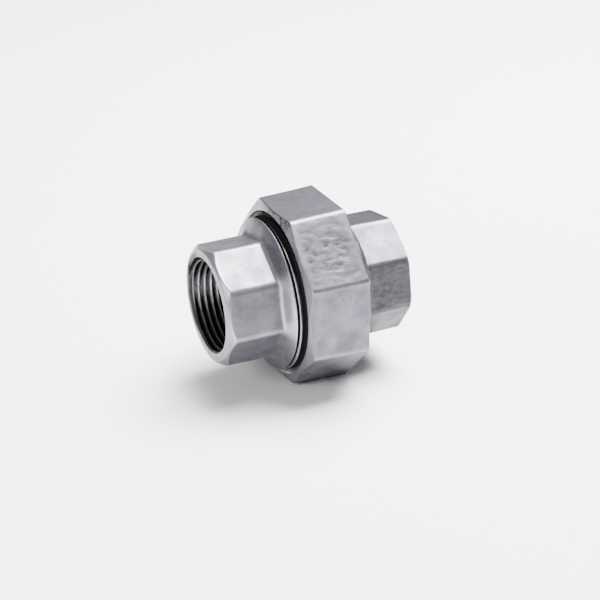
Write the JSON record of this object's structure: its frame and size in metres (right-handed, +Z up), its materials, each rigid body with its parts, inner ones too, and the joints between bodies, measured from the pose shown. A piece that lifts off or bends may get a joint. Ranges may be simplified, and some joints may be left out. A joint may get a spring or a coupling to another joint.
{
  "type": "pipe union",
  "caption": "Straight threaded pipe union: an octagonal head end and tail end, drawn together on a flat gasket by an octagonal union nut.",
  "frame": {"origin": "on the axis of the bores, half way between the two free ends", "axes": "+X along the bores towards the free end of the tail end; +Z up, square to one flat of the nut"},
  "size_m": [0.053, 0.0494, 0.0494],
  "materials": {
    "galvanised_head": "hot-dip galvanised casting, satin, turned end face and thread",
    "galvanised_tail": "hot-dip galvanised casting, satin, turned end face",
    "galvanised_nut": "hot-dip galvanised casting, satin, rough on its flats",
    "gasket_fibre": "matt compressed fibre sheet"
  },
  "bodies": {
    "head": {"head_end": "galvanised_head"},
    "seal": {"gasket": "gasket_fibre"},
    "nut": {"union_nut": "galvanised_nut"},
    "tail": {"tail_end": "galvanised_tail"}
  },
  "joints": [
    {"name": "joint_opening", "type": "slide", "parent": "head", "child": "seal", "axis": [1, 0, 0], "range_m": [0, 0.00651]},
    {"name": "nut_turn", "type": "hinge", "parent": "seal", "child": "nut", "pos_m": [0, 0, 0], "axis": [1, 0, 0], "range_deg": [0, 1170]},
    {"name": "tail_swivel", "type": "hinge", "parent": "seal", "child": "tail", "pos_m": [0, 0, 0], "axis": [1, 0, 0], "continuous": true}
  ],
  "couplings": [
    {"joint": "joint_opening", "follows": "nut_turn", "m_per_rad": 0.00031831}
  ]
}
